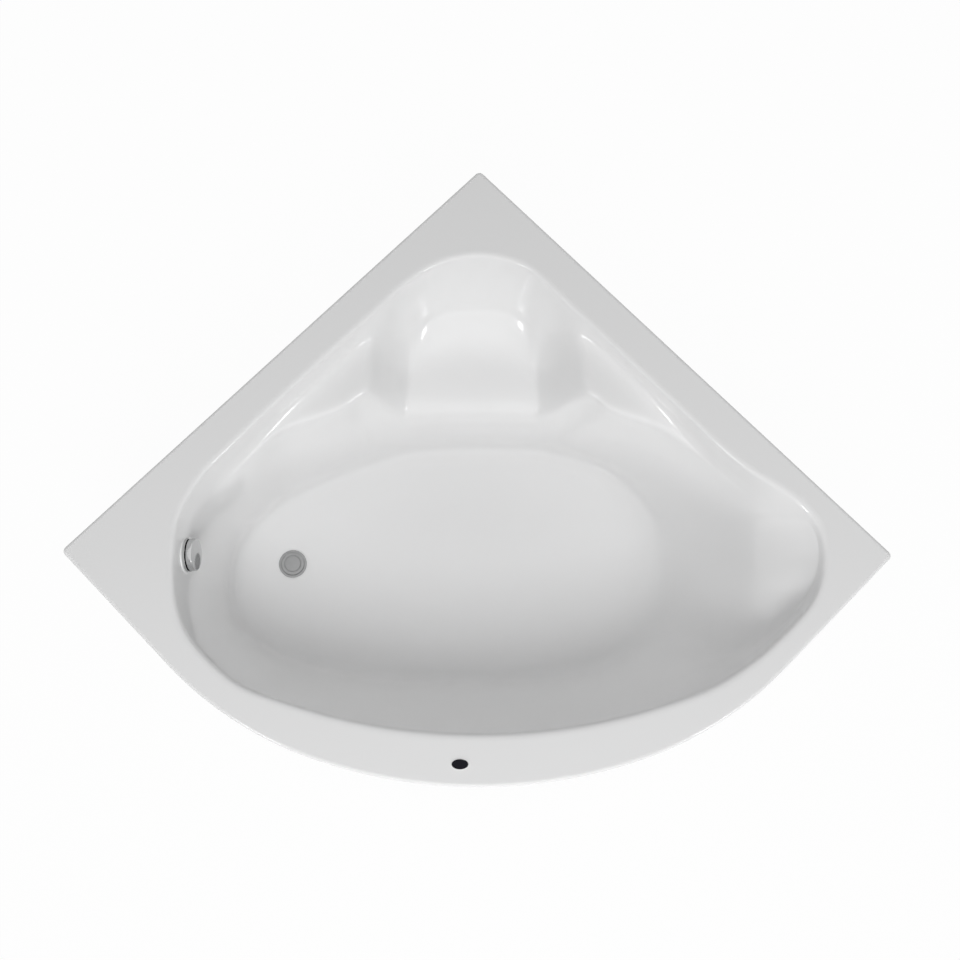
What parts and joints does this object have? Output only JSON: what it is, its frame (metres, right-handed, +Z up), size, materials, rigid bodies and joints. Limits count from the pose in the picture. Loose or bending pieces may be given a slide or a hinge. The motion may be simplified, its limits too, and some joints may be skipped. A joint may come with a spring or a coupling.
{
  "type": "corner bathtub",
  "caption": "Corner bathtub with a moulded seat and armrests, curved front panel, levelling feet, and a pop-up waste worked by the overflow knob.",
  "frame": {"origin": "on the floor, under the middle of the bounding box", "axes": "+X to the right end with the backrest, +Y to the room's corner, +Z up; the open front faces -Y"},
  "size_m": [1.8984, 1.473, 0.6015],
  "materials": {
    "acrylic": "white, high gloss",
    "badge_dark": "dark, glossy",
    "board": "sealed chipboard",
    "softwood": "planed, plain",
    "frame_paint": "grey powder coat",
    "zinc_steel": "zinc plated",
    "black_plastic": "matt black",
    "chrome": "polished chrome",
    "brass": "plain brass",
    "rubber_black": "black rubber",
    "pipe_plastic": "white, semi-matt"
  },
  "bodies": {
    "tub": {"tub_shell": "acrylic", "front_panel": "acrylic", "badge": "badge_dark", "floor_board": "board", "seat_board": "board", "left_rim_batten": "softwood", "right_rim_batten": "softwood", "left_corner_batten": "softwood", "right_corner_batten": "softwood", "long_rail": "frame_paint", "back_rail": "frame_paint", "front_rail": "frame_paint", "left_post": "frame_paint", "right_post": "frame_paint", "back_post": "frame_paint", "front_post": "frame_paint", "seat_post": "frame_paint", "post_caps": "black_plastic", "lock_nuts": "zinc_steel", "left_wall_brackets": "zinc_steel", "right_wall_brackets": "zinc_steel", "left_bracket_screws": "zinc_steel", "right_bracket_screws": "zinc_steel", "panel_clip": "zinc_steel", "panel_screws": "zinc_steel", "drain_flange": "chrome", "overflow_rosette": "chrome", "drain_seal": "rubber_black", "overflow_seal": "rubber_black", "drain_body": "pipe_plastic", "trap_nut": "pipe_plastic", "trap_bend": "pipe_plastic", "cleanout_cap": "pipe_plastic", "outlet_nut": "pipe_plastic", "outlet_pipe": "pipe_plastic", "overflow_body": "pipe_plastic", "overflow_pipe": "pipe_plastic", "control_cable": "black_plastic", "cable_clips": "black_plastic"},
    "knob": {"overflow_knob": "chrome", "overflow_spindle": "brass"},
    "plug": {"plug_cap": "chrome", "plug_stem": "brass", "plug_seal": "rubber_black"},
    "lever": {"lift_lever": "zinc_steel"},
    "left_foot": {"left_foot_stud": "zinc_steel", "left_foot_pad": "black_plastic"},
    "right_foot": {"right_foot_stud": "zinc_steel", "right_foot_pad": "black_plastic"},
    "back_foot": {"back_foot_stud": "zinc_steel", "back_foot_pad": "black_plastic"},
    "front_foot": {"front_foot_stud": "zinc_steel", "front_foot_pad": "black_plastic"},
    "middle_foot": {"middle_foot_stud": "zinc_steel", "middle_foot_pad": "black_plastic"}
  },
  "joints": [
    {"name": "knob_turn", "type": "hinge", "parent": "tub", "child": "knob", "pos_m": [-0.68339, -0.20461, 0.51], "axis": [-0.9888, 0, -0.1495], "range_deg": [0, 90]},
    {"name": "plug_lift", "type": "slide", "parent": "tub", "child": "plug", "axis": [0, 0, 1], "range_m": [0, 0.008]},
    {"name": "lever_turn", "type": "hinge", "parent": "tub", "child": "lever", "pos_m": [-0.49265, -0.16671, 0.111], "axis": [0.2217, -0.9751, 0], "range_deg": [0, 33.2]},
    {"name": "left_foot_level", "type": "slide", "parent": "tub", "child": "left_foot", "axis": [0, 0, 1], "range_m": [-0.01, 0.015]},
    {"name": "right_foot_level", "type": "slide", "parent": "tub", "child": "right_foot", "axis": [0, 0, 1], "range_m": [-0.01, 0.015]},
    {"name": "back_foot_level", "type": "slide", "parent": "tub", "child": "back_foot", "axis": [0, 0, 1], "range_m": [-0.01, 0.015]},
    {"name": "front_foot_level", "type": "slide", "parent": "tub", "child": "front_foot", "axis": [0, 0, 1], "range_m": [-0.01, 0.015]},
    {"name": "middle_foot_level", "type": "slide", "parent": "tub", "child": "middle_foot", "axis": [0, 0, 1], "range_m": [-0.01, 0.015]}
  ],
  "couplings": [
    {"joint": "plug_lift", "follows": "knob_turn", "m_per_rad": 0.00509},
    {"joint": "lever_turn", "follows": "knob_turn", "ratio": 0.3688}
  ]
}
